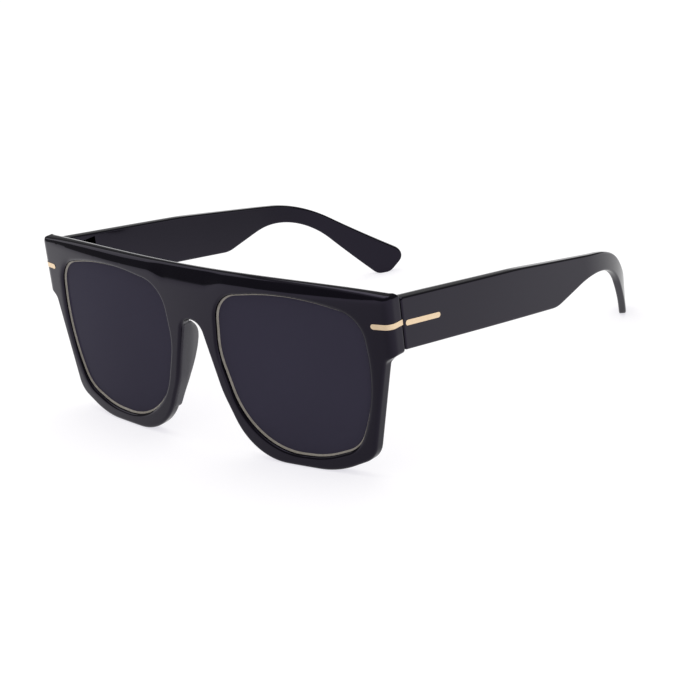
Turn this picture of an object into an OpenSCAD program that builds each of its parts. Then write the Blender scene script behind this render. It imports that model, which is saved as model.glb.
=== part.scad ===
// Reading sunglasses: a wide square plastic front with tinted lenses, two folding temples on
// five-barrel hinges, bonded nose pads and thin metal inlays at the corners.
// Everything is in millimetres. +X is the wearer's left, +Y goes back towards the ears, +Z is up.
// The glasses stand open on the two rims and the two temple tips, as they do on a table.

/* [Front] */
// Width of each lens opening
lens_w = 53.9; // [50:0.1:57]
// Height of each lens opening
lens_h = 49.8; // [46:0.1:52]
// Distance between the two lens openings
bridge_w = 19.8; // [19:0.1:22]
// Width from a lens opening to the side of the front
endpiece_w = 8.7; // [7.8:0.1:10]
// Thickness of the front from face to back
front_t = 4.2; // [3.8:0.1:5]
// Radius that the front is curved to, seen from above
front_r = 324; // [280:1:400]
// Height of the rim below the lens opening
rim_bottom = 3.6; // [2.8:0.1:4.2]
// Width of the rim beside the nose
rim_nose = 4.1; // [3.4:0.1:4.5]
// Width of the rim at the outer side
rim_side = 4.5; // [4:0.1:5.5]
// Height of the brow above the lens opening, at the corners
brow_h = 2.8; // [2.4:0.1:5]
// Rise of the top edge from the corners to the middle
crown = 1.9; // [0:0.1:3]
// Height of the nose arch above the table
arch_top = 41.4; // [38:0.1:43]
// Width of the nose arch between the corners of its legs
arch_w = 7.1; // [6.6:0.1:9]
// Radius of the nose arch
arch_r = 4.7; // [3:0.1:4.8]
// Radius between the face and the side at each corner
corner_r = 2.8; // [1.5:0.1:3.5]
// Depth that the bevel along the brow goes back
brow_bevel = 1.3; // [0.6:0.1:1.8]
// Height of the bevel's lower edge above the lens opening
brow_ridge = 1.8; // [1:0.1:2.2]
// Drop of the bevel's lower edge at the bridge
bridge_dip = 2.4; // [0.5:0.1:3]

/* [Lenses] */
// Thickness of each lens
lens_t = 1.8; // [1.5:0.1:2.2]
// Depth from the face of the front to the face of the lens
lens_set = 1.5; // [0.8:0.1:1.8]
// Height of the tongue around each lens
tongue_h = 0.6; // [0.3:0.05:0.8]
// Thickness of the tongue around each lens
tongue_t = 0.8; // [0.5:0.1:1.2]

/* [Nose pads] */
// Depth that each nose pad stands out behind the front
pad_depth = 5.6; // [4:0.1:7]
// Half the thickness of a nose pad
pad_r = 1.6; // [1.2:0.1:2]
// How far the back of each pad flares away from the nose
pad_flare = 0.8; // [0.4:0.1:3]

/* [Temples] */
// Distance from the face's corner plane back to the hinge gap
endpiece_d = 5.2; // [5:0.1:6.5]
// Gap between the front and each temple
temple_gap = 0.3; // [0.2:0.05:0.5]
// Thickness of each temple at the hinge
temple_t = 4; // [3.6:0.1:4.6]
// Thickness of each temple at its tip
tip_t = 2.4; // [2.2:0.1:3.4]
// Height of each temple where it meets the front
temple_h = 15.3; // [14.8:0.1:16.5]
// Mean slope of the temple's upper edge, in degrees
temple_slope = 11.2; // [10.5:0.1:11.8]
// Rise of the upper edge's middle above the straight line between its ends
temple_crest = 1.1; // [0:0.1:1.5]
// Length from the hinge gap to the middle of the ear bend
ear_y = 110.2; // [108:0.1:114]
// Height of each temple in the narrow stretch before the ear bend
ear_h = 6; // [5:0.1:7]
// Slope of the temple behind the ear bend, in degrees
drop_slope = 38.3; // [36:0.1:40]
// Length of the temple behind the middle of the ear bend, seen from the side
drop_y = 32.9; // [31:0.1:35]
// Radius that the temple's end is curved inward to
tip_curve_r = 66; // [60:1:90]
// Width of the bevel along the temple's upper outer edge
temple_bevel = 0.6; // [0.4:0.1:1.2]

/* [Hinges] */
// Radius of the hinge barrels
barrel_r = 1.6; // [1.4:0.05:1.8]
// Height of one hinge barrel
barrel_h = 1.7; // [1.5:0.05:1.9]
// Radius of the hinge screw
screw_r = 0.7; // [0.6:0.05:0.8]
// Radius of the hinge screw's head
screw_head_r = 1.25; // [1.1:0.05:1.3]
// Thickness of the hinge leaves
leaf_t = 0.9; // [0.7:0.05:1.1]
// Height of the hinge leaves
leaf_h = 9.4; // [9:0.1:11]
// Length of the leaf in the temple
temple_leaf_l = 12.5; // [12:0.5:14]
// Radius of the small screws that fasten the leaves
pin_r = 0.6; // [0.5:0.05:0.7]
// Length of the small screws that fasten the leaves
pin_l = 2.5; // [2:0.1:2.8]

/* [Trim] */
// Height of the metal inlays
inlay_h = 1.6; // [1.5:0.1:2.4]
// Depth of the inlay grooves
inlay_d = 0.5; // [0.3:0.05:0.6]
// Height that the inlays stand proud of the plastic
inlay_proud = 0.1; // [0.05:0.01:0.2]
// Length of the inlay along each temple
inlay_l = 15.5; // [12:0.5:20]
// Width of the inlay on the face, from the side of the front
inlay_w = 6.2; // [5:0.1:6.6]
// Radius of the core wire in each temple
wire_r = 0.7; // [0.5:0.05:0.8]

/* [Fits] */
// Running clearance around the hinge screw
screw_fit = 0.05; // [0.02:0.01:0.09]
// Gap between one hinge barrel and the next
barrel_gap = 0.08; // [0.05:0.01:0.12]
// Clearance around a lens in its groove
lens_fit = 0.05; // [0.02:0.01:0.1]
// Clearance around a piece let into the plastic
seat_fit = 0.03; // [0.01:0.01:0.1]

/* [Hidden] */

black = [0.09, 0.085, 0.095];
tint = [0.2, 0.2, 0.26, 0.85];
steel = [0.62, 0.62, 0.64];
rose_gold = [0.86, 0.66, 0.5];

// Degrees between the points of a rounded corner
arc_step = 5;
// Share of an edge that the arcs at its two ends may take, and the shortest run that they are given
arc_share = 0.98;
arc_room = 0.01;
// Overlap that makes a cut run clear of the face it starts from
past = 1;
// Facets of the round pieces, and of the large curves of the front
$fn = 48;
large_fn = 240;

// Half the distance between the lens openings, and the inner and outer side of each opening
lens_x = bridge_w / 2;
lens_x2 = lens_x + lens_w;
// Half the width of the front
half_w = lens_x2 + endpiece_w;
// Heights of the brow: at the corners, and of the bevel's lower edge
top_z = rim_bottom + lens_h + brow_h;
ridge_z = rim_bottom + lens_h + brow_ridge;
// Distance back from the corner plane to the centre of the front's curve
curve_y = sqrt(front_r * front_r - half_w * half_w);

// Corners of the left lens opening as [across, up, radius], in shares of its width, height and height
lens_shape = [[0.025, 0.948, 0.198], [-0.005, 0.582, 0.461], [0.16, -0.013, 0.491], [0.66, 0.005, 0.64],
    [0.888, 0.096, 0.243], [1.023, 0.441, 1.245], [0.98, 0.919, 0.233], [0.549, 1.034, 1.905]];
lens_corners = limited([for (p = lens_shape)
    [lens_x + p.x * lens_w, rim_bottom + p.y * lens_h, p.z * lens_h]]);

// The nose side of the rim runs beside the line between the opening's second and third corners
nose_bend_z = 19.8;
nose_bend_x = lens_corners[1].x - rim_nose + (lens_corners[1].y - nose_bend_z)
    * (lens_corners[2].x - lens_corners[1].x) / (lens_corners[1].y - lens_corners[2].y);
// The temple's upper edge starts this far below the front's, and the corner that carries the hinge
// ends this far below the temple
temple_drop = 2.2;
endpiece_drop = 0.2;
endpiece_z = top_z - temple_drop - temple_h - endpiece_drop;

// Length of the rim's level foot past the opening's third and fourth corners, and the places of the
// cheek and of the neck under the hinge, as [across from the rim's side, up or down]
foot_l = [0.2, 3.9];
cheek = [5.8, 2.3];
neck = [0.9, 2.1];
// Radii of the rim beside the nose, at both ends of its foot, at the cheek, neck and hinge, and on top
nose_side_r = 30;
foot_r = [20, 30];
cheek_r = 7;
neck_r = 2.5;
endpiece_r = 1;
top_r = 1.5;
// Distance between the points of the crowned top edge, and the power that makes its middle level
crown_step = 8;
crown_power = 4;

// Corners of the front's left half, from the nose arch round to the top
half_front = [
    [arch_w / 2, arch_top, arch_r],
    [nose_bend_x, nose_bend_z, nose_side_r],
    [lens_corners[2].x + foot_l[0], 0, foot_r[0]],
    [lens_corners[3].x + foot_l[1], 0, foot_r[1]],
    [lens_x2 + rim_side - cheek.x, rim_bottom + cheek.y, cheek_r],
    [lens_x2 + rim_side + neck.x, endpiece_z - neck.y, neck_r],
    [half_w, endpiece_z, endpiece_r],
    [half_w, top_z, top_r]];
crown_x = half_w - crown_step;
crown_points = [for (x = [crown_x : -crown_step : -crown_x])
    [x, top_z + crown * (1 - pow(x / half_w, crown_power)), 0]];
front_corners = limited(concat(half_front, crown_points,
    [for (i = [len(half_front) - 1 : -1 : 0]) [-half_front[i].x, half_front[i].y, half_front[i].z]]));
// Half the width of the dip in the brow bevel at the bridge, at its lower edge and on top
dip_w = [8, 16];
// The thick corner starts this far from the lens opening, and ends this far above the temple
lens_wall = 0.3;
corner_rise = 1;

// The hinge stands behind the corner, just inside the temple
temple_y = endpiece_d + temple_gap;
temple_in = half_w - temple_t;
barrel_in = 0.3;
barrel_back = 0.5;
hinge_x = temple_in - barrel_in - barrel_r;
hinge_y = temple_y + barrel_back + barrel_r;
hinge_z = top_z - temple_drop - temple_h / 2;
stack_h = 5 * barrel_h + 4 * barrel_gap;
// Half the thickness of the web that joins a barrel to its leaf
web_r = barrel_r - 0.2;
// Width of the front leaf past its barrels, and start of the temple leaf behind the gap
front_leaf_w = 2.3;
temple_leaf_y = 0.8;

// Upper front corner of the temple, and its corners seen from the side as [back, up, radius]
temple_top = top_z - temple_drop;
lower_slope = 9.9;
waist_l = 73;
ear_r = 52;
under_ear_r = 33;
waist_r = 9;
crest_r = 200;
temple_edge_r = 0.5;
ear = [temple_y + ear_y, temple_top - ear_y * tan(temple_slope)];
crest = [(temple_y + ear.x) / 2, (temple_top + ear.y) / 2 + temple_crest];
front_slope = atan((temple_top - crest.y) / (crest.x - temple_y));
rear_slope = atan((crest.y - ear.y) / (ear.x - crest.x));
tip_top = [ear.x + drop_y, ear.y - drop_y * tan(drop_slope)];
under_ear = ear + [-3.7, 5.9 - ear_h];
tip_r = 4;
tip_in = 7.4;
// The round tip reaches this far below the table's level and is cut flat there
rest_cut = 0.3;
tip_centre = [tip_top.x - tip_in, tip_r - rest_cut];
tip_low = tip_centre + tip_r * (tangent_normal(under_ear, tip_centre, tip_r, 1)
    + tangent_normal(tip_top, tip_centre, tip_r, -1))
    / (1 + tangent_normal(under_ear, tip_centre, tip_r, 1) * tangent_normal(tip_top, tip_centre, tip_r, -1));
temple_corners = [
    [temple_y, temple_top - temple_h, temple_edge_r],
    [temple_y + waist_l, temple_top - temple_h - waist_l * tan(lower_slope), waist_r],
    [under_ear.x, under_ear.y, under_ear_r],
    [tip_low.x, tip_low.y, tip_r],
    [tip_top.x, tip_top.y, tip_r],
    [ear.x, ear.y, ear_r],
    [crest.x, crest.y, crest_r],
    [temple_y, temple_top, temple_edge_r]];
temple_side = rounded(limited(temple_corners));
temple_end = max([for (p = temple_side) p.x]);

// Seen from above the temple runs straight back, bends in gently, and its end curves in round the ear
bend_y = 35;
bend_r = 1440;
curl_l = 19.9;
curl_y = ear.x - curl_l;
function inward(y) = y < bend_y ? 0 : y < curl_y ? pow(y - bend_y, 2) / (2 * bend_r)
    : inward(curl_y - 0.001) + (y - curl_y) * (curl_y - bend_y) / bend_r
        + pow(y - curl_y, 2) / (2 * tip_curve_r);
function turn_in(y) = y < bend_y ? 0 : y < curl_y ? atan((y - bend_y) / bend_r)
    : atan((curl_y - bend_y) / bend_r + (y - curl_y) / tip_curve_r);

// The temple thins evenly from just behind its hinge leaf to the ear bend
thin_y = [20, 110];
function thick(y) = temple_t
    + (tip_t - temple_t) * min(1, max(0, (y - thin_y[0]) / (thin_y[1] - thin_y[0])));

// Half the length of the glasses, which puts the origin under the middle of their box
mid_y = (curve_y - front_r + temple_end) / 2;

// The inlays run level round the corner and along the temple parallel to its upper edge
inlay_z = hinge_z + 0.95;
inlay_start = [temple_y + 1, hinge_z + 0.2];

// Points of the outline, with a round arc at each corner that has a radius
function unit(v) = v / norm(v);
function flat(p) = [p.x, p.y];
function tangent_normal(p, c, r, side) = let (a = atan2(p.y - c.y, p.x - c.x) + side * acos(r / norm(p - c)))
    [cos(a), sin(a)];
function fillet(a, b, c, r) = let (u = unit(a - b), w = unit(c - b), h = acos(u * w) / 2,
    centre = b + unit(u + w) * r / sin(h), p = b + u * r / tan(h) - centre, q = b + w * r / tan(h) - centre,
    start = atan2(p.y, p.x), turn = (atan2(q.y, q.x) - start + 540) % 360 - 180,
    n = max(1, ceil(abs(turn) / arc_step)))
    [for (i = [0 : n]) centre + r * [cos(start + turn * i / n), sin(start + turn * i / n)]];
function half_angle(c, i) = let (n = len(c), u = unit(flat(c[(i + n - 1) % n]) - flat(c[i])),
    w = unit(flat(c[(i + 1) % n]) - flat(c[i]))) acos(u * w) / 2;
// The same corners, with a radius cut back where two arcs would run into each other on an edge
function limited(c) = let (n = len(c), runs = [for (i = [0 : n - 1]) c[i].z / tan(half_angle(c, i))],
    shares = [for (i = [0 : n - 1]) let (k = (i + 1) % n)
        arc_share * norm(flat(c[k]) - flat(c[i])) / max(runs[i] + runs[k], arc_room)])
    [for (i = [0 : n - 1]) [c[i].x, c[i].y, c[i].z * min(1, shares[i], shares[(i + n - 1) % n])]];
function rounded(c) = let (n = len(c)) [for (i = [0 : n - 1]) each c[i].z > 0
    ? fillet(flat(c[(i + n - 1) % n]), flat(c[i]), flat(c[(i + 1) % n]), c[i].z) : [flat(c[i])]];
// The same rounded outline with every edge moved out by d, for a convex outline
function grown(c, d) = let (n = len(c)) [for (i = [0 : n - 1]) let (b = flat(c[i]),
    u = unit(flat(c[(i + n - 1) % n]) - b), w = unit(flat(c[(i + 1) % n]) - b),
    p = b - unit(u + w) * d / sin(half_angle(c, i))) [p.x, p.y, c[i].z + d]];

// Puts a piece in the part's frame, for the left side or mirrored for the right
module placed(side) {
    translate([0, -mid_y, 0]) {
        if (side > 0) children();
        if (side < 0) mirror([1, 0, 0]) children();
    }
}

// An upright outline, drawn across and up, from behind the front to before its face
module upright(points) {
    translate([0, endpiece_d + past, 0]) rotate([90, 0, 0])
        linear_extrude(endpiece_d + front_r - curve_y + 3 * past) polygon(points);
}

// The curved slab between two depths behind the face of the front
module curved_slab(d0, d1) {
    h = top_z + crown + 2 * past;
    translate([0, curve_y, -past]) difference() {
        cylinder(r = front_r - d0, h = h, $fn = large_fn);
        translate([0, 0, -past]) cylinder(r = front_r - d1, h = h + 2 * past, $fn = large_fn);
    }
}

// The front seen from above, shrunk by d all round, with a rounded corner at each side
module plan(d) {
    x = half_w - corner_r;
    y = curve_y - sqrt(pow(front_r - corner_r, 2) - x * x);
    edge_x = x + (corner_r - d) * x / (front_r - corner_r);
    h = top_z + crown + 2 * past;
    bow = front_r - d - curve_y + past;
    translate([0, 0, -past]) {
        intersection() {
            translate([0, curve_y, 0]) cylinder(r = front_r - d, h = h, $fn = large_fn);
            translate([-edge_x, -bow, 0]) cube([2 * edge_x, bow + endpiece_d, h]);
        }
        for (s = [-1, 1]) {
            translate([s * x, y, 0]) cylinder(r = corner_r - d, h = h);
            translate([s > 0 ? edge_x - 1 : d - half_w, y, 0])
                cube([half_w - d - edge_x + 1, endpiece_d - y, h]);
        }
    }
}

// Bevel along the brow: a cone round the front's centre of curvature, cut from the face
module brow_cut(z) {
    top = top_z + crown;
    over = top + past;
    half_turn = asin(half_w / front_r) + 2;
    translate([0, curve_y, 0]) rotate([0, 0, -90 - half_turn])
        rotate_extrude(angle = 2 * half_turn, $fn = large_fn)
            polygon([[front_r, z], [front_r + past, z], [front_r + past, over],
                [front_r - brow_bevel * (over - z) / (top - z), over]]);
}

// Level band round the corner from its rounded end on the face to the hinge gap
module inlay_band(clear) {
    centre_x = half_w - inlay_w + inlay_h / 2;
    h = inlay_h + 2 * clear;
    translate([centre_x, -front_t, inlay_z - h / 2]) cube([inlay_w, front_t + endpiece_d, h]);
    translate([centre_x, endpiece_d, inlay_z]) rotate([90, 0, 0])
        cylinder(r = h / 2, h = front_t + endpiece_d);
}

// A bar with round ends, from the point where it starts along +Y
module round_bar(l, h, depth) {
    rotate([90, 0, 90]) linear_extrude(depth) {
        translate([h / 2, -h / 2]) square([l - h, h]);
        for (y = [h / 2, l - h / 2]) translate([y, 0]) circle(h / 2);
    }
}

// Small screws that fasten a leaf: shanks along +Y with their heads at y = 0
module leaf_screws(places, clear) {
    for (p = places) translate([p.x, -clear, p.y]) rotate([-90, 0, 0]) {
        cylinder(r = pin_r + clear, h = pin_l + 2 * clear);
        cylinder(r = pin_r + pin_head.x + clear, h = pin_head.y + clear);
    }
}

// Width past the shank and height of the small screws' heads
pin_head = [0.4, 0.45];
// Where the screws stand in each leaf
front_pin_x = 2.6;
front_pin_up = 3;
front_screws = [for (s = [-1, 1]) [hinge_x + front_pin_x, hinge_z + front_pin_up * s]];
temple_pin_back = [4.4, 8.8];
temple_screws = [for (l = temple_pin_back) [hinge_y + l, hinge_z]];

// Barrels of the hinge by number, from 1 at the bottom to 5 at the top
module barrels(numbers) {
    for (n = numbers) translate([hinge_x, hinge_y, barrel_z(n)]) cylinder(r = barrel_r, h = barrel_h);
}
function barrel_z(n) = hinge_z - stack_h / 2 + (n - 1) * (barrel_h + barrel_gap);

module screw_bore() {
    translate([hinge_x, hinge_y, hinge_z - stack_h / 2 - past])
        cylinder(r = screw_r + screw_fit, h = stack_h + 2 * past);
}

// The plastic front: two rims, the bridge and the corners that carry the hinges
module front_frame() {
    color(black) placed(1) difference() {
        intersection() {
            upright(rounded(front_corners));
            plan(0);
            union() {
                curved_slab(0, front_t);
                for (s = [-1, 1]) mirror([s < 0 ? 1 : 0, 0, 0])
                    translate([lens_x2 + lens_wall, -front_t, endpiece_z - neck.y])
                        cube([endpiece_w, front_t + endpiece_d,
                            temple_top + corner_rise - endpiece_z + neck.y]);
            }
        }
        brow_cut(ridge_z);
        intersection() {
            brow_cut(ridge_z - bridge_dip);
            upright([[-dip_w[1], top_z + 2 * crown], [-dip_w[0], ridge_z - bridge_dip],
                [dip_w[0], ridge_z - bridge_dip], [dip_w[1], top_z + 2 * crown]]);
        }
        for (s = [-1, 1]) mirror([s < 0 ? 1 : 0, 0, 0]) {
            upright(rounded(lens_corners));
            intersection() {
                curved_slab(lens_set + (lens_t - tongue_t) / 2 - lens_fit,
                    lens_set + (lens_t + tongue_t) / 2 + lens_fit);
                upright(rounded(grown(lens_corners, tongue_h + lens_fit)));
            }
            front_leaf_plate(seat_fit);
            translate([0, endpiece_d, 0]) mirror([0, 1, 0]) leaf_screws(front_screws, seat_fit);
            intersection() {
                difference() {
                    plan(-past);
                    plan(inlay_d + seat_fit);
                }
                inlay_band(seat_fit);
            }
        }
    }
}

// A tinted lens, curved like the front, with the tongue that snaps into the groove
module lens(side) {
    color(tint) placed(side) {
        intersection() {
            curved_slab(lens_set, lens_set + lens_t);
            upright(rounded(grown(lens_corners, -lens_fit)));
        }
        intersection() {
            curved_slab(lens_set + (lens_t - tongue_t) / 2, lens_set + (lens_t + tongue_t) / 2);
            upright(rounded(grown(lens_corners, tongue_h)));
        }
    }
}

// Corners of the nose pad as [out from the rim's edge, back, up], first where it is bonded on
pad_inset = 0.4;
pad_corners = [[pad_inset, 0, 37], [pad_inset, 0, 10.5],
    [pad_flare, pad_depth, 32], [pad_flare, 0.72 * pad_depth, 21.5]];

// A nose pad bonded to the back of the rim, flaring away from the nose
module nose_pad(side) {
    back_y = curve_y - front_r + front_t;
    slope = (nose_bend_x - arch_w / 2) / (arch_top - nose_bend_z);
    color(black) placed(side) difference() {
        hull() for (p = pad_corners) translate([arch_w / 2 + (arch_top - p.z) * slope + pad_r + p.x,
            back_y + p.y - pad_r * sign(p.y), p.z]) sphere(r = pad_r, $fn = 32);
        translate([0, curve_y, -past]) difference() {
            cylinder(r = front_r + 2 * pad_r, h = top_z, $fn = large_fn);
            translate([0, 0, -past]) cylinder(r = front_r - front_t, h = top_z + 2 * past, $fn = large_fn);
        }
    }
}

module front_leaf_plate(clear) {
    translate([hinge_x - barrel_r - 0.1 - clear, endpiece_d - leaf_t - clear, hinge_z - leaf_h / 2 - clear])
        cube([2 * barrel_r + front_leaf_w + 2 * clear, leaf_t + 2 * clear, leaf_h + 2 * clear]);
}

// The hinge leaf let into the back of the front's corner, with the second and fourth barrel
module front_hinge_leaf(side) {
    color(steel) placed(side) difference() {
        union() {
            front_leaf_plate(0);
            barrels([2, 4]);
            for (n = [2, 4]) translate([hinge_x - web_r, endpiece_d - 0.1, barrel_z(n)])
                cube([2 * web_r, hinge_y - endpiece_d + 0.1, barrel_h]);
        }
        screw_bore();
        translate([0, endpiece_d, 0]) mirror([0, 1, 0]) leaf_screws(front_screws, seat_fit);
    }
}

module front_leaf_screws(side) {
    color(steel) placed(side) translate([0, endpiece_d, 0]) mirror([0, 1, 0]) leaf_screws(front_screws, 0);
}

// A metal strip let into the face and round the corner
module front_inlay(side) {
    color(rose_gold) placed(side) intersection() {
        difference() {
            plan(-inlay_proud);
            plan(inlay_d);
        }
        inlay_band(0);
    }
}

// Route of the core wire, in the middle of the temple's thickness and height
function upper_edge(y) = y < crest.x ? temple_top - (y - temple_y) * tan(front_slope)
    : y < ear.x ? crest.y - (y - crest.x) * tan(rear_slope) : ear.y - (y - ear.x) * tan(drop_slope);
function wire_point(y, below) = [half_w - inward(y) - thick(y) / 2 * cos(turn_in(y)),
    y - thick(y) / 2 * sin(turn_in(y)), upper_edge(y) - below];
wire_start = temple_h / 2 + 1.5;
wire_waist_l = 74.5;
wire_route = [wire_point(temple_y + seat_fit, wire_start), wire_point(temple_y + wire_waist_l, 7.8),
    wire_point(curl_y, 3.4), wire_point((curl_y + ear.x) / 2, 3.5), wire_point(ear.x, 4),
    wire_point(ear.x + 6.2, 4), wire_point(ear.x + 13, 5)];

// A tube of flat sides along a route of straight stretches, mitred where they meet
module tube(route, r, sides = 10) {
    n = len(route);
    rings = [for (i = [0 : n - 1]) let (t = unit(route[min(i + 1, n - 1)] - route[max(i - 1, 0)]),
        u = unit(cross(t, [1, 0, 0])), w = cross(t, u))
        for (k = [0 : sides - 1]) route[i] + r * (u * cos(k * 360 / sides) + w * sin(k * 360 / sides))];
    walls = [for (i = [0 : n - 2]) each [for (k = [0 : sides - 1]) let (m = (k + 1) % sides)
        [i * sides + k, (i + 1) * sides + k, (i + 1) * sides + m, i * sides + m]]];
    polyhedron(rings, concat(walls, [[for (k = [0 : sides - 1]) k],
        [for (k = [sides - 1 : -1 : 0]) (n - 1) * sides + k]]));
}

// The plastic temple, bent in gently and curled in behind the ear
module temple(side) {
    slice = 3;
    steps = [for (y = [temple_y - slice : slice : temple_end + 2 * slice]) y];
    height = top_z + 4 * tip_r;
    outer = [for (y = steps) [half_w - inward(y), y]];
    inner = [for (y = steps)
        [half_w - inward(y) - thick(y) * cos(turn_in(y)), y - thick(y) * sin(turn_in(y))]];
    color(black) placed(side) difference() {
        intersection() {
            translate([half_w + past, 0, 0]) rotate([90, 0, -90]) mirror([1, 0, 0])
                linear_extrude(half_w) polygon(temple_side);
            translate([0, 0, -2 * tip_r]) linear_extrude(height)
                polygon(concat(outer, [for (i = [len(inner) - 1 : -1 : 0]) inner[i]]));
        }
        translate([0, 0, -2 * tip_r]) cube([half_w + past, temple_end + past, 2 * tip_r]);
        for (stretch = [[temple_y, temple_top, front_slope], [crest.x, crest.y, rear_slope]])
            translate([half_w, stretch.x, stretch.y]) rotate([-stretch.z, 0, 0]) rotate([0, 45, 0])
                translate([-temple_t / 2, -past, -temple_bevel / sqrt(2)])
                    cube([temple_t, ear_y / 2 + past, temple_t]);
        temple_leaf_plate(seat_fit);
        translate([temple_in, 0, 0]) rotate([0, 0, -90]) mirror([1, 0, 0])
            leaf_screws(temple_screws, seat_fit);
        translate([half_w - inlay_d - seat_fit, inlay_start.x - seat_fit, inlay_start.y])
            rotate([-front_slope, 0, 0])
                round_bar(inlay_l + 2 * seat_fit, inlay_h + 2 * seat_fit, inlay_d + past);
        tube(concat([wire_point(temple_y - past, wire_start)], wire_route), wire_r + seat_fit);
    }
}

// A stiffening wire in the middle of the temple, which also holds the bend behind the ear
module temple_core_wire(side) {
    color(steel) placed(side) tube(wire_route, wire_r);
}

module temple_leaf_plate(clear) {
    translate([temple_in - 2 * clear, temple_y + temple_leaf_y - clear, hinge_z - leaf_h / 2 - clear])
        cube([leaf_t + 3 * clear, temple_leaf_l + 2 * clear, leaf_h + 2 * clear]);
}

// The hinge leaf let into the inner face of the temple, with the first, third and fifth barrel
module temple_hinge_leaf(side) {
    color(steel) placed(side) difference() {
        union() {
            temple_leaf_plate(0);
            barrels([1, 3, 5]);
            for (n = [1, 3, 5]) translate([hinge_x, hinge_y - web_r, barrel_z(n)])
                cube([temple_in + 0.1 - hinge_x, 2 * web_r, barrel_h]);
        }
        screw_bore();
        translate([temple_in, 0, 0]) rotate([0, 0, -90]) mirror([1, 0, 0])
            leaf_screws(temple_screws, seat_fit);
    }
}

module temple_leaf_screws(side) {
    color(steel) placed(side) translate([temple_in, 0, 0]) rotate([0, 0, -90]) mirror([1, 0, 0])
        leaf_screws(temple_screws, 0);
}

// The slotted screw that the temple turns on
module hinge_screw(side) {
    head_h = 0.8;
    slot_w = 0.35;
    top = hinge_z + stack_h / 2;
    color(steel) placed(side) difference() {
        translate([hinge_x, hinge_y, 0]) {
            translate([0, 0, top - stack_h]) cylinder(r = screw_r, h = stack_h + head_h / 2);
            translate([0, 0, top]) cylinder(r = screw_head_r, h = head_h);
        }
        translate([hinge_x - 2 * screw_head_r, hinge_y - slot_w / 2, top + head_h / 2])
            cube([4 * screw_head_r, slot_w, head_h]);
    }
}

// A metal bar let into the outer face of the temple
module temple_inlay(side) {
    color(rose_gold) placed(side) translate([half_w - inlay_d, inlay_start.x, inlay_start.y])
        rotate([-front_slope, 0, 0]) round_bar(inlay_l, inlay_h, inlay_d + inlay_proud);
}

front_frame();
lens(1);  // lens_left
lens(-1);  // lens_right
nose_pad(1);  // nose_pad_left
nose_pad(-1);  // nose_pad_right
front_hinge_leaf(1);  // front_hinge_leaf_left
front_hinge_leaf(-1);  // front_hinge_leaf_right
front_leaf_screws(1);  // front_leaf_screws_left
front_leaf_screws(-1);  // front_leaf_screws_right
front_inlay(1);  // front_inlay_left
front_inlay(-1);  // front_inlay_right
temple(1);  // temple_left
temple(-1);  // temple_right
temple_core_wire(1);  // temple_core_wire_left
temple_core_wire(-1);  // temple_core_wire_right
temple_hinge_leaf(1);  // temple_hinge_leaf_left
temple_hinge_leaf(-1);  // temple_hinge_leaf_right
temple_leaf_screws(1);  // temple_leaf_screws_left
temple_leaf_screws(-1);  // temple_leaf_screws_right
hinge_screw(1);  // hinge_screw_left
hinge_screw(-1);  // hinge_screw_right
temple_inlay(1);  // temple_inlay_left
temple_inlay(-1);  // temple_inlay_right
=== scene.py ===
import math

import bmesh
import bpy
import numpy as np
from mathutils import Matrix, Vector
from mathutils.geometry import delaunay_2d_cdt


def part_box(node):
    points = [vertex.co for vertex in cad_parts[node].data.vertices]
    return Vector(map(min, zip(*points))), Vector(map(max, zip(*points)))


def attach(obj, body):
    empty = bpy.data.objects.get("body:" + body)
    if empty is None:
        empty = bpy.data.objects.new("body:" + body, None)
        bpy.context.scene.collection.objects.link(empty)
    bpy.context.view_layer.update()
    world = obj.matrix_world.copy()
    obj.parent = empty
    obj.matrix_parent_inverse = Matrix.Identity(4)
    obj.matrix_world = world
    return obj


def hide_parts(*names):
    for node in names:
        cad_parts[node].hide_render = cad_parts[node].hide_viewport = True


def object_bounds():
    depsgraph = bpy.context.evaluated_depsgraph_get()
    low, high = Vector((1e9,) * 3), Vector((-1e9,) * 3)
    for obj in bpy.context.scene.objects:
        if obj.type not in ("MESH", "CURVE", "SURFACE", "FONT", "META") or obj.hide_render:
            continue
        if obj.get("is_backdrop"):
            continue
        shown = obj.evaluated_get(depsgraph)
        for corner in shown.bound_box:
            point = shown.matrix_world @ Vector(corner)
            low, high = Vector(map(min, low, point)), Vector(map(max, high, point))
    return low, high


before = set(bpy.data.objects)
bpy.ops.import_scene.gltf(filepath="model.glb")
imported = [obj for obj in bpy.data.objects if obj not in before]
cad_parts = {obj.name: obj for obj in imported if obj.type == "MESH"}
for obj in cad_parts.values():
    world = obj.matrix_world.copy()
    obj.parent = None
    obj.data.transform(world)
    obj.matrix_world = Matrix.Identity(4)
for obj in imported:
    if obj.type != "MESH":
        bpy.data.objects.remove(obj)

cad_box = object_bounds()


# The front is one plate of black acetate, cut to its outline, bent over a former and tumbled
# until every edge is round and the face is like glass. Both rims, the bridge and the two thick
# corners that carry the hinges belong to it. Every piece is drawn in millimetres.
MM = 0.001
front_low, front_high = (np.array(corner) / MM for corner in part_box("front_frame"))
half_w = front_high[0]
hinge_gap_y = front_high[1]
curve_r = 324
curve_y = front_low[1] + curve_r
front_t = 4.2
top_z = 56.2
crown, crown_power = 1.9, 4
endpiece_d = 5.2
corner_r = 2.8
corner_y = hinge_gap_y - endpiece_d
lens_x, lens_w, lens_h, rim_bottom = 9.9, 53.9, 49.8, 3.6
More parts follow.
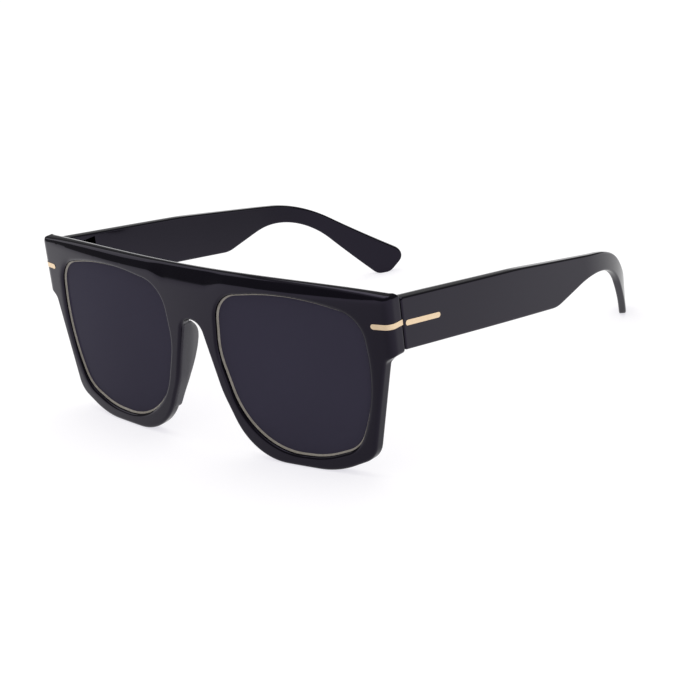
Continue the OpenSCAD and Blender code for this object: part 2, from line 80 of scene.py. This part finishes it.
# The corners of an outline are (across, up, radius), here in shares of the opening's width and height.
opening_shape = [(0.025, 0.948, 0.198), (-0.005, 0.582, 0.461), (0.16, -0.013, 0.491), (0.66, 0.005, 0.64),
    (0.888, 0.096, 0.2116), (1.023, 0.441, 1.084), (0.98, 0.919, 0.2018), (0.549, 1.034, 1.65)]
opening = [(lens_x + across * lens_w, rim_bottom + up * lens_h, radius * lens_h)
    for across, up, radius in opening_shape]
half_front = [(3.55, 41.4, 4.5), (9.37, 19.8, 30), (18.72, 0, 20), (49.37, 0, 30), (62.5, 5.9, 7),
    (69.2, 36.4, 2.5), (half_w, 38.5, 1.35), (half_w, top_z, 1.5)]


def crown_z(across):
    return top_z + crown * (1 - (across / half_w) ** crown_power)


def unit(way):
    return way / np.linalg.norm(way)


arc_step, count_slack = math.radians(9), 0.01


def outline(corners, spacing=0.6):
    """Points round an outline, no further apart than spacing, from its corners as (across, up, radius)."""
    corners = np.array(corners, float)
    arcs = []
    for before, corner, after in zip(np.roll(corners, 1, 0), corners, np.roll(corners, -1, 0)):
        here, radius = corner[:2], corner[2]
        to_before, to_after = unit(before[:2] - here), unit(after[:2] - here)
        half = math.acos(to_before @ to_after) / 2
        if radius == 0:
            arcs.append(here)
            continue
        centre = here + unit(to_before + to_after) * radius / math.sin(half)
        start, end = (here + way * radius / math.tan(half) - centre for way in (to_before, to_after))
        first = math.atan2(start[1], start[0])
        turn = (math.atan2(end[1], end[0]) - first + math.pi) % (2 * math.pi) - math.pi
        steps = math.ceil(max(abs(turn) / arc_step, radius * abs(turn) / spacing, 1))
        for angle in np.linspace(first, first + turn, steps + 1):
            arcs.append(centre + radius * np.array((math.cos(angle), math.sin(angle))))
    points = []
    for here, after in zip(arcs, arcs[1:] + arcs[:1]):
        steps = max(1, math.ceil(np.linalg.norm(after - here) / spacing - count_slack))
        points += [here + (after - here) * step / steps for step in range(steps)]
    return np.array(points)


def mirrored(ring):
    return (ring * (-1, 1))[::-1]


def grown(ring, out):
    """An outline that runs anticlockwise, with every point moved out, square to the edge."""
    along = np.roll(ring, -1, 0) - ring
    ways = np.stack([along[:, 1], -along[:, 0]], -1)
    ways /= np.linalg.norm(ways, axis=1)[:, None]
    earlier = np.roll(ways, 1, 0)
    return ring + out * (ways + earlier) / (1 + (ways * earlier).sum(1))[:, None]


def within(points, ring, batch=500):
    """How far each point is inside an outline, or outside it as a negative number."""
    after = np.roll(ring, -1, 0)
    along = after - ring
    length = (along ** 2).sum(1)
    rise = np.where(along[:, 1] == 0, 1e-9, along[:, 1])
    result = []
    for start in range(0, len(points), batch):
        some = points[start:start + batch]
        across = some[:, None] - ring[None]
        share = np.clip((across * along).sum(2) / length, 0, 1)
        apart = np.sqrt(((across - share[..., None] * along) ** 2).sum(2)).min(1)
        above = ring[None, :, 1] > some[:, None, 1]
        crosses = above != (after[None, :, 1] > some[:, None, 1])
        left = some[:, None, 0] < ring[:, 0] + across[..., 1] * along[:, 0] / rise
        inside = (crosses & left).sum(1) % 2 == 1
        result.append(np.where(inside, apart, -apart))
    return np.concatenate(result)


def round_edge(inset, width, depth):
    """Depth of an edge rounded as a quarter of an ellipse, at a distance in from the edge."""
    left = np.clip(1 - inset / width, 0, 1)
    return depth * (1 - np.sqrt(1 - left ** 2))


def both(first, second, power=4):
    """The deeper of two depths, with a soft crease where they meet."""
    return (np.abs(first) ** power + np.abs(second) ** power) ** (1 / power)


def smooth(value, low, high):
    """A soft step, from 0 at low to 1 at high."""
    share = np.clip((value - low) / (high - low), 0, 1)
    return share * share * (3 - 2 * share)


def grid(ring, spacing, row_pitch=0.87):
    """Points in even rows over the box round an outline, every second row moved by half a step."""
    low, high = ring.min(0), ring.max(0)
    rows = np.arange(low[1], high[1], spacing * row_pitch)
    return np.array([(x + spacing / 2 * (number % 2), z) for number, z in enumerate(rows)
        for x in np.arange(low[0], high[0], spacing)])


grid_clear, ring_slack, merge_d = 0.3, 0.02, 1e-6


def plate(name, rims, points, face, back, walls, place):
    """A mesh between a face and a back. Each rim is an outline, +1 round the piece or -1 round an
    opening, and how far in its rings lie. Walls give, for each rim, rings down its side."""
    flat, bands, borders, starts = [], [], [], []
    for ring, side, insets in rims:
        starts.append(len(flat))
        size = len(ring)
        for inset in insets:
            flat += list(grown(ring, -side * inset))
        for band in range(len(insets) - 1):
            first = starts[-1] + band * size
            for here in range(size):
                after = (here + 1) % size
                bands.append((first + here, first + after, first + size + after, first + size + here)[::side])
        borders.append(range(len(flat) - size, len(flat)))
    room = np.full(len(points), np.inf)
    for ring, side, insets in rims:
        room = np.minimum(room, side * within(points, ring) - insets[-1])
    edge_points = [index for border in borders for index in border]
    inner = points[room > grid_clear]
    first_inner = len(flat)
    flat = np.array(flat + list(inner))
    chosen = edge_points + list(range(first_inner, len(flat)))
    spots = {index: spot for spot, index in enumerate(chosen)}
    edges = [(spots[border[here]], spots[border[(here + 1) % len(border)]])
        for border in borders for here in range(len(border))]
    result = delaunay_2d_cdt([Vector(flat[index]) for index in chosen], edges, [], 0, merge_d, True)
    for triangle in result[2]:
        corners = [chosen[result[3][corner][0]] for corner in triangle]
        centre = flat[corners].mean(0)[None]
        if all(side * within(centre, ring)[0] > insets[-1] - ring_slack for ring, side, insets in rims):
            bands.append(corners)
    count = len(flat)
    depths = face(flat), back(flat)
    solid = [place(flat, depth) for depth in depths]
    faces = list(bands) + [tuple(count + corner for corner in reversed(band)) for band in bands]
    for (ring, side, insets), start, wall in zip(rims, starts, walls):
        size = len(ring)
        earlier = range(start, start + size)
        for inset, depth in wall:
            shown = depth(depths[0][start:start + size], depths[1][start:start + size])
            first = sum(len(part) for part in solid)
            solid.append(place(grown(ring, -side * inset), shown))
            faces += side_faces(earlier, range(first, first + size), side)
            earlier = range(first, first + size)
        faces += side_faces(earlier, range(count + start, count + start + size), side)
    return mesh_piece(name, np.concatenate(solid), faces)


def side_faces(upper, lower, side):
    """Faces between two rings of a wall, one further down than the other."""
    size = len(upper)
    return [(upper[(here + 1) % size], upper[here], lower[here], lower[(here + 1) % size])[::side]
        for here in range(size)]


def mesh_piece(name, points, faces, sharp=35):
    """A smooth-shaded object from points in millimetres, with creases at the sharp edges."""
    mesh = bpy.data.meshes.new(name)
    mesh.from_pydata((np.asarray(points) * MM).tolist(), [], [tuple(face) for face in faces])
    shape = bmesh.new()
    shape.from_mesh(mesh)
    bmesh.ops.recalc_face_normals(shape, faces=shape.faces)
    for face in shape.faces:
        face.smooth = True
    for edge in shape.edges:
        edge.smooth = len(edge.link_faces) == 2 and edge.calc_face_angle() < math.radians(sharp)
    shape.to_mesh(mesh)
    shape.free()
    piece = bpy.data.objects.new(name, mesh)
    bpy.context.scene.collection.objects.link(piece)
    return piece


def on_front(flat, depth):
    """Points of the bent front, from across and up, and a depth behind its face."""
    return np.stack([flat[:, 0], curve_y - np.sqrt((curve_r - depth) ** 2 - flat[:, 0] ** 2), flat[:, 1]], -1)


ridge_z, ridge_dip, dip_far, dip_near = 55.2, 2.4, 16, 8
brow_d, brow_soft = 1.6, 0.12


def brow(flat):
    """Depth of the bevel along the brow, whose lower edge dips in an S on each side of the bridge."""
    ridge = ridge_z - ridge_dip * smooth(np.abs(flat[:, 0]), dip_far, dip_near)
    rise = (flat[:, 1] - ridge) / (top_z + crown - ridge)
    return brow_d * (rise + np.sqrt(rise ** 2 + brow_soft ** 2)) / 2


def side_round(flat):
    """Depth of the rounding between the face and each side, seen from above."""
    across = np.abs(flat[:, 0])
    centre_x = half_w - corner_r
    centre_y = curve_y - math.sqrt((curve_r - corner_r) ** 2 - centre_x ** 2)
    start = centre_x * curve_r / (curve_r - corner_r)
    over = np.clip(across - centre_x, 0, corner_r)
    round_y = centre_y - np.sqrt(corner_r ** 2 - over ** 2)
    depth = curve_r - np.sqrt(across ** 2 + (curve_y - round_y) ** 2)
    return np.where(across > start, np.clip(depth, 0, None), 0)


openings = [outline(opening), mirrored(outline(opening))]
crown_step = 8
crown_points = [(x, crown_z(x), 0) for x in np.arange(half_w - crown_step, crown_step - half_w, -crown_step)]
front_ring = outline(half_front + crown_points + [(-x, z, radius) for x, z, radius in reversed(half_front)])
face_edge, back_edge, block_edge = 1, 1.3, 0.5
face_lip, back_lip = (0.9, 0.8), (0.4, 0.4)
lip_extra, lip_from, lip_to = 0.9, 40, 62
block_side = lens_x + lens_w - 0.4, lens_x + lens_w + 2.6
block_foot, block_top = (35.2, 37.8), (56.4, 54.8)
worn_down = [0, 0.1, 0.2, 0.3, 0.4, 0.55, 0.7]
worn_depth = [1.3, 0.8, 0.36, 0.14, 0.05, 0.01, 0]
worn_low, worn_side = (1.6, 0.8), (half_w - 1, half_w - 2.5)


def lip(flat, width, depth):
    """Depth of the rolled edge round the openings, wider on the temple side than beside the nose."""
    inset = -np.maximum(within(flat, openings[0]), within(flat, openings[1]))
    wide = width + lip_extra * smooth(np.abs(flat[:, 0]), lip_from, lip_to)
    return round_edge(inset, wide, depth)


def front_face(flat):
    edge = both(round_edge(within(flat, front_ring), face_edge, face_edge), side_round(flat))
    return brow(flat) + edge + lip(flat, *face_lip)


def front_back(flat):
    """Depth of the back, with thick blocks for the hinges and an upper edge worn to a soft slope."""
    across, up = np.abs(flat[:, 0]), flat[:, 1]
    down = crown_z(across) - up
    to_corner = curve_r - np.sqrt(across ** 2 + (curve_y - corner_y - endpiece_d) ** 2)
    block = smooth(across, *block_side) * smooth(up, *block_foot)
    thick = front_t + (to_corner - front_t) * block * smooth(up, *block_top)
    rounded = back_edge - (back_edge - block_edge) * block
    edge = round_edge(within(flat, front_ring), rounded, rounded)
    worn = np.interp(down, worn_down, worn_depth)
    along_top = smooth(down, *worn_low) * smooth(across, *worn_side)
    return thick - edge - (worn - edge) * along_top - lip(flat, *back_lip)


def stepped(rise, near, far):
    """Rings of a wall with a groove cut into it, or with a tongue on it, between two depths."""
    return [(inset, lambda face, back, depth=depth: np.full(len(face), depth))
        for inset, depth in ((0, near), (rise, near), (rise, far), (0, far))]


edge_rings = [0, 0.02, 0.08, 0.17, 0.3, 0.46, 0.64, 0.84, 1.05, 1.3]
lip_rings = [0, 0.02, 0.08, 0.18, 0.34, 0.55, 0.8, 1.05, 1.35]
groove_h, groove_in, groove_out = 0.65, 1.95, 2.85
front_grid = 0.8
down_side = [(0, lambda face, back, share=share: face + (back - face) * share) for share in (0.25, 0.5, 0.75)]
groove = stepped(groove_h, groove_in, groove_out)
front = plate("polished_front", [(front_ring, 1, edge_rings)] + [(ring, -1, lip_rings) for ring in openings],
    grid(front_ring, front_grid), front_face, front_back, [down_side, groove, groove], on_front)


class Paint:
    """A socket in a finish's node tree. Arithmetic on it adds Math nodes to the tree."""

    def __init__(self, tree, socket=None):
        self.tree = tree
        self.socket = socket

    def node(self, kind, settings=None, sockets=None, out=0):
        """Adds a node, makes its settings, then sets or links its sockets, and gives one output."""
        made = self.tree.nodes.new(kind)
        for name, value in (settings or {}).items():
            setattr(made, name, value)
        for name, value in (sockets or {}).items():
            if isinstance(value, Paint):
                self.tree.links.new(value.socket, made.inputs[name])
            else:
                made.inputs[name].default_value = value
        return Paint(self.tree, made.outputs[out]) if made.outputs else None

    def maths(self, operation, first, second):
        return self.node("ShaderNodeMath", {"operation": operation}, {0: first, 1: second})

    def __add__(self, other):
        return self.maths("ADD", self, other)

    def __sub__(self, other):
        return self.maths("SUBTRACT", self, other)

    def __rsub__(self, other):
        return self.maths("SUBTRACT", other, self)

    def __mul__(self, other):
        return self.maths("MULTIPLY", self, other)

    __radd__ = __add__
    __rmul__ = __mul__

    def noise(self, scale, detail):
        """Cloudy noise at this place."""
        return self.node("ShaderNodeTexNoise", sockets={"Vector": self, "Scale": scale, "Detail": detail})

    def apart(self, spot):
        """How far this place is from a spot."""
        return self.node("ShaderNodeVectorMath", {"operation": "DISTANCE"}, {0: self, 1: spot}, "Value")

    def ramp(self, dark, light, low=0.3, high=0.7):
        """A colour that goes from dark to light as this value rises."""
        made = self.node("ShaderNodeValToRGB", sockets={0: self})
        stops = made.socket.node.color_ramp.elements
        for stop, position, colour in zip(stops, (low, high), (dark, light)):
            stop.position = position
            stop.color = (*colour, 1)
        return made

    def soft_step(self, low, high, first=0.0, last=1.0):
        """A soft step, from first at low to last at high."""
        return self.node("ShaderNodeMapRange", {"interpolation_type": "SMOOTHSTEP"},
            {"Value": self, "From Min": low, "From Max": high, "To Min": first, "To Max": last})

    def bump(self, strength, distance):
        """The relief that this value gives a surface."""
        return self.node("ShaderNodeBump",
            sockets={"Height": self, "Strength": strength, "Distance": distance})


def new_finish(name):
    """An empty material, as a Paint to add nodes to, and the place on the object in its own space."""
    finish = bpy.data.materials.new(name)
    finish.use_nodes = True
    finish.node_tree.nodes.clear()
    paint = Paint(finish.node_tree)
    return finish, paint, paint.node("ShaderNodeTexCoord", out="Object")


def surface(paint, sockets):
    """Joins a Principled shader with these sockets to the material's output."""
    shader = paint.node("ShaderNodeBsdfPrincipled", sockets=sockets)
    paint.node("ShaderNodeOutputMaterial", sockets={"Surface": shader})


def polished_black():
    """Black plastic with a faint cloudiness under its gloss and the ripple that tumbling leaves."""
    finish, paint, place = new_finish("black_acetate")
    colour = place.noise(60.0, 3.0).ramp((0.0015, 0.0013, 0.0022), (0.0025, 0.0022, 0.0036))
    surface(paint, {"Base Color": colour, "Roughness": place.noise(420.0, 4.0) * 0.04 + 0.03, "IOR": 1.38,
        "Specular Tint": (0.77, 0.68, 1, 1), "Normal": place.noise(130.0, 1.0).bump(0.05, 0.0001)})
    return finish


black_acetate = polished_black()
front.data.materials.append(black_acetate)
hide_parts("front_frame")
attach(front, "front")


# Each nose pad is a soft block of satin plastic, bonded over the rim's wall beside the nose. It
# runs flush down the wall and stands out behind it with a round back that flares from the nose.
pad_skin, pad_sunk = 0.12, 0.2
pad_flare, pad_thick, pad_round, pad_taper = 0.9, 3.1, 0.55, 0.25
pad_start, pad_core, pad_overlap = 1.1, 1.2, 0.3
pad_heights = [9.5, 10.5, 12.5, 15, 18, 21.5, 25, 28.5, 31.5, 33.5, 35.2, 36.8, 38, 38.8, 39.4]
pad_backs = [0, 0.2, 0.5, 1.0, 1.9, 3.3, 4.7, 5.7, 6.0, 5.7, 4.9, 3.6, 2.1, 0.8, 0]
pad_rows, pad_sharp = 61, 60
nose_reach = 18


def pad_section(back):
    """Points round a nose pad that stands out so far, as how far from the rim's edge and back."""
    round_r = min(pad_thick / 2, pad_round * back)
    straight = back - round_r
    lean = pad_flare * (back / max(pad_backs)) ** 2
    near = pad_sunk if back == 0 else -pad_skin
    wall = [(pad_overlap, pad_start), (near + 0.4 * pad_skin, 1.35), (near, 1.8), (near, 3), (near, front_t)]
    inner = [(near + lean * share ** 2, front_t + straight * share) for share in (0.33, 0.66)]
    turn = [(near + lean + round_r * (1 - math.cos(angle)), front_t + straight + round_r * math.sin(angle))
        for angle in np.linspace(0, math.pi, 9)]
    outer = [(turn[-1][0] + pad_taper * (1 - share), front_t - pad_overlap + straight * share)
        for share in (0.66, 0.33, 0)]
    return wall + inner + turn + outer + [(pad_core, front_t - pad_overlap), (pad_core, pad_start)]


def satin_pad():
    finish, paint, place = new_finish("satin_pad")
    grain = place.noise(2500.0, 2.0)
    surface(paint, {"Base Color": grain.ramp((0.034, 0.031, 0.044), (0.044, 0.04, 0.056), 0.35, 0.65),
        "Roughness": grain * 0.1 + 0.3, "IOR": 1.48, "Normal": grain.bump(0.15, 0.00005)})
    return finish


pad_finish = satin_pad()
nose_side = front_ring[(front_ring[:, 0] > 0) & (front_ring[:, 0] < nose_reach)
    & (front_ring[:, 1] < half_front[0][1] - 1)]
nose_side = nose_side[np.argsort(nose_side[:, 1])]
heights = np.linspace(pad_heights[0], pad_heights[-1], pad_rows)
backs = np.interp(heights, pad_heights, pad_backs)
backs[1:-1] = (backs[:-2] + 2 * backs[1:-1] + backs[2:]) / 4
for side, name in ((1, "left"), (-1, "right")):
    rings = []
    for height, back in zip(heights, backs):
        section = np.array(pad_section(back))
        across = side * (np.interp(height, nose_side[:, 1], nose_side[:, 0]) + section[:, 0])
        rings.append(on_front(np.stack([across, np.full(len(section), height)], -1), section[:, 1]))
    size = len(rings[0])
    faces = [(row + here, row + (here + 1) % size, row + size + (here + 1) % size, row + size + here)
        for row in range(0, (pad_rows - 1) * size, size) for here in range(size)]
    faces += [tuple(range(size)), tuple(range((pad_rows - 1) * size, pad_rows * size))]
    pad = mesh_piece(f"moulded_nose_pad_{name}", np.concatenate(rings), faces, pad_sharp)
    pad.data.materials.append(pad_finish)
    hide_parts(f"nose_pad_{name}")
    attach(pad, "front")


# The lenses are dark tinted plastic, cut to the opening, bent like the front and snapped into
# its groove by a tongue. The bevel round each lens carries a pale warm colour, a painted
# highlight for the light its polished edge catches.
lens_set, lens_t, lens_fit, lens_grid = 1.5, 1.8, 0.05, 1.6
bevel_w, bevel_d, bevel_slack = 0.5, 0.45, 0.01
tongue_h, tongue_in, tongue_out = 0.6, 2.0, 2.8
lens_rings = [0, bevel_w / 2, bevel_w, bevel_w + 0.04, bevel_w + 0.2]


def lens_depth(start, ring):
    """Depth of a lens's face or back, which comes forward over the bevel."""
    return lambda flat: start - bevel_d * np.clip(1 - within(flat, ring) / bevel_w, 0, 1)


def tinted():
    """Near-black violet grey, which lets a little of what lies behind it through."""
    finish, paint, place = new_finish("violet_tint")
    cloud = place.noise(25.0, 1.0)
    surface(paint, {"Base Color": cloud.ramp((0.041, 0.037, 0.058), (0.044, 0.04, 0.063)),
        "Roughness": cloud * 0.01 + 0.03, "IOR": 1.07, "Alpha": 0.985})
    return finish


# A pale warm colour for the lens bevel: a painted highlight that stands for the light the polished edge
# catches.
def painted_edge_glint():
    finish, paint, place = new_finish("lens_edge_painted_glint")
    grain = place.noise(900.0, 2.0)
    surface(paint, {"Base Color": grain.ramp((0.26, 0.235, 0.2), (0.34, 0.31, 0.27)),
        "Roughness": grain * 0.1 + 0.25, "IOR": 1.5})
    return finish


lens_finishes = tinted(), painted_edge_glint()
tongue = stepped(-tongue_h, tongue_in, tongue_out)
for side, ring in zip(("left", "right"), openings):
    lens_ring = grown(ring, -lens_fit)
    lens = plate(f"tinted_lens_{side}", [(lens_ring, 1, lens_rings)], grid(lens_ring, lens_grid),
        lens_depth(lens_set, lens_ring), lens_depth(lens_set + lens_t, lens_ring), [tongue], on_front)
    for finish in lens_finishes:
        lens.data.materials.append(finish)
    flat = np.array([polygon.center for polygon in lens.data.polygons])[:, (0, 2)] / MM
    # Faces on the bevel take the painted edge highlight; the rest of the lens takes the tint.
    for polygon, inset in zip(lens.data.polygons, within(flat, lens_ring)):
        polygon.material_index = int(inset < bevel_w + bevel_slack)
    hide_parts(f"lens_{side}")
    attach(lens, "front")


# The hinges are stamped steel leaves with rolled barrels, let into the plastic and fastened by
# small screws. The temple turns on a slotted steel screw that runs through all five barrels.
def brushed_metal(name, stretch, scale, dark, light, relief, spread, dull):
    """Metal with the fine marks of a tool or a polishing wheel."""
    finish, paint, place = new_finish(name)
    stretched = paint.node("ShaderNodeMapping", sockets={"Vector": place, "Scale": (1, 1, stretch)})
    grain = stretched.noise(scale, 3.0)
    surface(paint, {"Base Color": grain.ramp(dark, light), "Metallic": 1.0,
        "Roughness": grain * spread + dull, "Normal": grain.bump(*relief)})
    return finish


def turned_steel(name, light, dull):
    dark = tuple(0.82 * part for part in light)
    return brushed_metal(name, 14, 700.0, dark, light, (0.12, 0.00003), 0.15, dull)


def dress(node, finish):
    """Gives a CAD node that stays its finish."""
    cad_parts[node].data.materials.clear()
    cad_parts[node].data.materials.append(finish)


leaf_steel = turned_steel("stamped_steel", (0.6, 0.59, 0.58), 0.22)
screw_steel = turned_steel("screw_steel", (0.7, 0.7, 0.71), 0.16)
for side in ("left", "right"):
    for node in ("front_hinge_leaf", "temple_hinge_leaf"):
        dress(f"{node}_{side}", leaf_steel)
    for node in ("front_leaf_screws", "temple_leaf_screws", "hinge_screw"):
        dress(f"{node}_{side}", screw_steel)


# The temples are cut from the same black acetate as the front, round a steel core wire, and
# screwed to their hinge leaves. A broad blade runs back from the hinge, narrows before the ear
# and drops to a rounded tip that curls in behind it.
temple_side = [(5.5, 38.7, 0.9), (79, 25.7, 13), (112, 32.08, 33), (141.18, -2.476, 4),
    (148.7, 6.35, 4), (115.9, 32.6, 52), (60.6, 44.65, 200), (5.5, 54.45, 0.9)]
temple_t, tip_t, thin_y, thin_l = 4, 2.4, 20, 90
bend_y, bend_r, curl_y, tip_curve_r = 35, 1440, 95.8, 66
outer_edge, inner_edge = 0.6, 0.5
temple_rings = [0, 0.03, 0.1, 0.2, 0.34, 0.5, 0.7, 0.85]
temple_spacing, temple_grid = 0.8, 1.4
temple_ring = outline(temple_side, temple_spacing)


def on_temple(side):
    def place(flat, depth):
        """Points of the bent temple, from back and up, and a depth in from its outer face."""
        bent = np.clip(flat[:, 0] - bend_y, 0, curl_y - bend_y)
        curled = np.clip(flat[:, 0] - curl_y, 0, None)
        inward = (bent ** 2 / (2 * bend_r) + curled * (curl_y - bend_y) / bend_r
            + curled ** 2 / (2 * tip_curve_r))
        turn = np.arctan(bent / bend_r + curled / tip_curve_r)
        return np.stack([side * (half_w - inward - depth * np.cos(turn)),
            corner_y + flat[:, 0] - depth * np.sin(turn), np.maximum(flat[:, 1], 0)], -1)
    return place


def temple_face(flat):
    return round_edge(within(flat, temple_ring), outer_edge, outer_edge)


def temple_back(flat):
    """The temple thins evenly from just behind its hinge leaf to the ear."""
    thick = temple_t + (tip_t - temple_t) * np.clip((flat[:, 0] - thin_y) / thin_l, 0, 1)
    return thick - round_edge(within(flat, temple_ring), inner_edge, inner_edge)


for side, name in ((1, "left"), (-1, "right")):
    dress(f"temple_core_wire_{name}", screw_steel)
    temple = plate(f"polished_temple_{name}", [(temple_ring, 1, temple_rings)],
        grid(temple_ring, temple_grid), temple_face, temple_back, [down_side], on_temple(side))
    temple.data.materials.append(black_acetate)
    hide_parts(f"temple_{name}")
    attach(temple, f"{name}_temple")


# The trim is thin strip of rose-gold plated brass, pressed into grooves at the corners of the
# front and in the temples, and left a hair proud of the plastic.
gold = brushed_metal("rose_gold_plate", 9, 900.0, (0.74, 0.56, 0.37), (0.84, 0.66, 0.46),
    (0.1, 0.00002), 0.1, 0.2)
for side in ("left", "right"):
    for node in ("front_inlay", "temple_inlay"):
        dress(f"{node}_{side}", gold)


# The glasses stand on a plain white sheet under soft overhead light, in a studio that is white
# behind them and dim behind the camera. The sheet keeps their shadow.
scene = bpy.context.scene
sheet_half = 3000
floor = mesh_piece("floor", [(x * sheet_half, y * sheet_half, 0)
    for x, y in ((-1, -1), (1, -1), (1, 1), (-1, 1))], [(0, 1, 2, 3)])


def ray_kinds(paint):
    """1 for a ray that sees a thing directly or through a lens, and 1 for a mirrored one."""
    camera_ray, through_ray, glossy_ray = (paint.node("ShaderNodeLightPath", out=name)
        for name in ("Is Camera Ray", "Is Transmission Ray", "Is Glossy Ray"))
    return camera_ray + through_ray, glossy_ray


def sheet(paint, reflects, glows, strength=1.0):
    """Paper that keeps a shadow and adds some light of its own."""
    paper = paint.node("ShaderNodeBsdfDiffuse", sockets={"Color": (*reflects, 1)})
    glow = paint.node("ShaderNodeEmission", sockets={"Color": (*glows, 1), "Strength": strength})
    return paint.node("ShaderNodeAddShader", sockets={0: paper, 1: glow})


finish, paint, place = new_finish("white_sheet")
direct, mirroring = ray_kinds(paint)
# Mirrored rays see the sheet glow less in two round patches, one in front of the glasses to the right and one
# between the temples: painted shade that the black plastic and the lenses reflect.
painted_reflected_shade = (place.apart((0.06, -0.16, 0)).soft_step(0.0, 0.2, 0.32, 0.72)
    * place.apart((0.02, 0.12, 0)).soft_step(0.0, 0.12, 0.4, 1.0))
paper = paint.node("ShaderNodeBsdfDiffuse", sockets={"Color": (0.86, 0.86, 0.87, 1)})
seen = paint.node("ShaderNodeMixShader",
    sockets={0: direct, 1: paper, 2: sheet(paint, (0.4, 0.4, 0.36), (0.68, 0.67, 0.72))})
either = paint.node("ShaderNodeMixShader",
    sockets={0: mirroring, 1: seen, 2: sheet(paint, (0.4, 0.4, 0.4), (1, 1, 1), painted_reflected_shade)})
paint.node("ShaderNodeOutputMaterial", sockets={"Surface": either})
floor.data.materials.append(finish)
floor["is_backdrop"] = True

world = bpy.data.worlds.new("studio")
scene.world = world
world.use_nodes = True
world.node_tree.nodes.clear()
paint = Paint(world.node_tree)
way = paint.node("ShaderNodeTexCoord", out="Generated")
height = paint.node("ShaderNodeSeparateXYZ", sockets={0: way}, out=2)
direct, mirroring = ray_kinds(paint)
low_sweep, overhead = height.soft_step(0.08, 0.0), height.soft_step(0.72, 0.95)
dim_wall, ceiling, room_light = 0.2, 0.6, 0.72
reflected = paint.maths("MAXIMUM", dim_wall + ceiling * overhead, low_sweep)
strength = direct + mirroring * reflected + room_light * (1 - direct - mirroring)
sky = paint.node("ShaderNodeBackground", sockets={"Color": (1, 1, 1, 1), "Strength": strength})
paint.node("ShaderNodeOutputWorld", sockets={"Surface": sky})

for name, position, size, power in (("overhead_softbox", (-0.1, 0.15, 0.9), 0.8, 3.0),
        ("side_softbox", (-0.7, -0.2, 0.6), 0.5, 0.8)):
    light = bpy.data.lights.new(name, "AREA")
    light.size = size
    light.energy = power
    lamp = bpy.data.objects.new(name, light)
    lamp.location = position
    lamp.rotation_euler = (Vector((0, 0, 0.03)) - Vector(position)).to_track_quat("-Z", "Y").to_euler()
    scene.collection.objects.link(lamp)


# The camera stands as the photographer's did: high in front on the left temple's side, and tilted.
azimuth, elevation, roll = math.radians(43.181), math.radians(20.551), math.radians(-7.037)
back_way = Vector((math.sin(azimuth) * math.cos(elevation), -math.cos(azimuth) * math.cos(elevation),
    math.sin(elevation)))
right_way = Vector((math.cos(azimuth), math.sin(azimuth), 0))
up_way = back_way.cross(right_way)
right_tilted = right_way * math.cos(roll) + up_way * math.sin(roll)
up_tilted = up_way * math.cos(roll) - right_way * math.sin(roll)
camera_data = bpy.data.cameras.new("camera")
camera_data.lens, camera_data.sensor_width = 109.11, 36
camera = bpy.data.objects.new("camera", camera_data)
camera.matrix_world = Matrix((right_tilted, up_tilted, back_way)).transposed().to_4x4()
camera.location = (0.42957, -0.47088, 0.24708)
scene.collection.objects.link(camera)
scene.camera = camera
scene.view_settings.view_transform = "Standard"

size = {"cad": [list(corner) for corner in cad_box], "visual": [list(corner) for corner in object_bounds()]}
